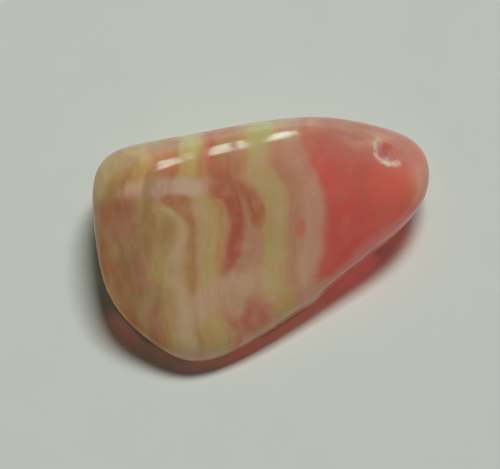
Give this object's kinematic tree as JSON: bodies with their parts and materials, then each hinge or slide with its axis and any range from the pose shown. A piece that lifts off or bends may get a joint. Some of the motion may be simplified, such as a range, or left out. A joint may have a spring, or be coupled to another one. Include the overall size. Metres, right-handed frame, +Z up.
{
  "type": "tumbled banded rhodochrosite pebble",
  "caption": "Polished wedge-shaped pebble of banded pink and cream rhodochrosite, with a chip near its pointed end; a loose stone that lies on its flat underside.",
  "frame": {"origin": "on the surface the stone lies on, under the middle of its box", "axes": "+X along the stone towards the pointed red end, +Y towards the ridge and the thick side, +Z up out of the resting face"},
  "size_m": [0.028, 0.0204, 0.0085],
  "materials": {
    "polished_stone": "polished translucent stone, banded coral red, pale pink, cream, yellow-green and orange"
  },
  "bodies": {
    "root": {"stone": "polished_stone"}
  },
  "joints": []
}
